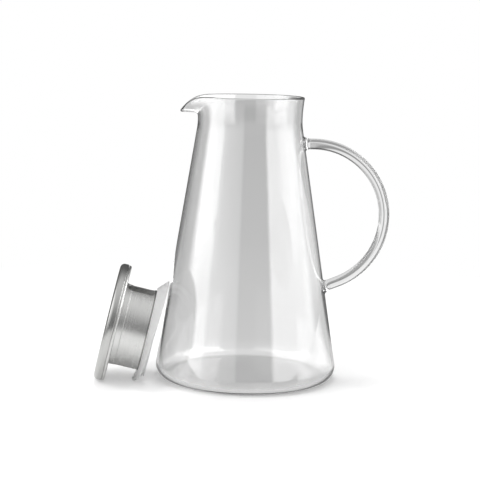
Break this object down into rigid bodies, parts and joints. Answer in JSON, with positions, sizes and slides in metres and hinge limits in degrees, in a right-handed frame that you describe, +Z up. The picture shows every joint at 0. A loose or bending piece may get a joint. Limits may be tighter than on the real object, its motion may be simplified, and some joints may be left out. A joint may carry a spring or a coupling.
{
  "type": "glass pitcher with strainer lid",
  "caption": "Tall conical clear glass pitcher with a pulled spout and bent glass rod handle; a steel strainer lid with a silicone seal lies beside it.",
  "frame": {"origin": "middle of the jug's flat base, on the table", "axes": "+Z up along the jug's axis, +X towards the handle (the spout is at -X), +Y away from the viewer of the picture"},
  "size_m": [0.2417, 0.15, 0.2342],
  "materials": {
    "clear_glass": "clear, polished",
    "brushed_steel": "brushed round the axis",
    "clear_silicone": "translucent, satin"
  },
  "bodies": {
    "jug": {"glass_jug": "clear_glass", "glass_handle": "clear_glass", "handle_weld_upper": "clear_glass", "handle_weld_lower": "clear_glass"},
    "seal": {"silicone_seal": "clear_silicone"},
    "lid": {"lid_cap": "brushed_steel", "lid_underplate": "brushed_steel", "strainer_sleeve": "brushed_steel"}
  },
  "joints": [
    {"name": "lid_lift", "type": "slide", "parent": "jug", "child": "seal", "axis": [0, 0, 1], "range_m": [0, 0.25]},
    {"name": "lid_turn", "type": "hinge", "parent": "seal", "child": "lid", "pos_m": [-0.11434, -0.022, 0.04904], "axis": [0.9737, 0.0306, -0.2259], "continuous": true}
  ]
}
